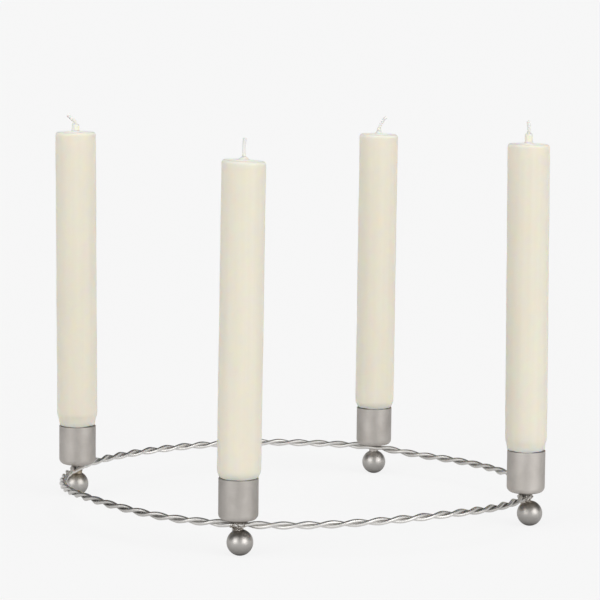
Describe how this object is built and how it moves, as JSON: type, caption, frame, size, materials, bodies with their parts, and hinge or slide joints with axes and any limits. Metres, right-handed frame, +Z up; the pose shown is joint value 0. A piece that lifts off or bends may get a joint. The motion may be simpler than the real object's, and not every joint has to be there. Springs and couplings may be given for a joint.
{
  "type": "advent candle holder",
  "caption": "Free-standing advent candle holder: a ring of twisted wire with drawn metal cups on ball feet, holding tall ivory candles that lift out.",
  "frame": {"origin": "middle of the wire ring, on the table that the ball feet stand on", "axes": "+Z up along the candles, +X towards cup 1, whose opposite is cup 3"},
  "size_m": [0.312, 0.3114, 0.2427],
  "materials": {
    "wire_nickel": "satin nickel plate",
    "cup_nickel": "satin nickel plate",
    "foot_nickel": "bright nickel plate",
    "screw_steel": "zinc plated",
    "candle_wax": "ivory wax",
    "wick_cotton": "braided cotton"
  },
  "bodies": {
    "holder": {"wire_strand_a": "wire_nickel", "wire_strand_b": "wire_nickel", "candle_cup_1": "cup_nickel", "cup_screw_1": "screw_steel", "ball_foot_1": "foot_nickel", "candle_cup_2": "cup_nickel", "cup_screw_2": "screw_steel", "ball_foot_2": "foot_nickel", "candle_cup_3": "cup_nickel", "cup_screw_3": "screw_steel", "ball_foot_3": "foot_nickel", "candle_cup_4": "cup_nickel", "cup_screw_4": "screw_steel", "ball_foot_4": "foot_nickel"},
    "lifted_candle_1": {"candle_1": "candle_wax", "wick_1": "wick_cotton"},
    "lifted_candle_2": {"candle_2": "candle_wax", "wick_2": "wick_cotton"},
    "lifted_candle_3": {"candle_3": "candle_wax", "wick_3": "wick_cotton"},
    "lifted_candle_4": {"candle_4": "candle_wax", "wick_4": "wick_cotton"}
  },
  "joints": [
    {"name": "candle_1_lift", "type": "slide", "parent": "holder", "child": "lifted_candle_1", "axis": [0, 0, 1], "range_m": [0, 0.05]},
    {"name": "candle_2_lift", "type": "slide", "parent": "holder", "child": "lifted_candle_2", "axis": [0, 0, 1], "range_m": [0, 0.05]},
    {"name": "candle_3_lift", "type": "slide", "parent": "holder", "child": "lifted_candle_3", "axis": [0, 0, 1], "range_m": [0, 0.05]},
    {"name": "candle_4_lift", "type": "slide", "parent": "holder", "child": "lifted_candle_4", "axis": [0, 0, 1], "range_m": [0, 0.05]}
  ]
}
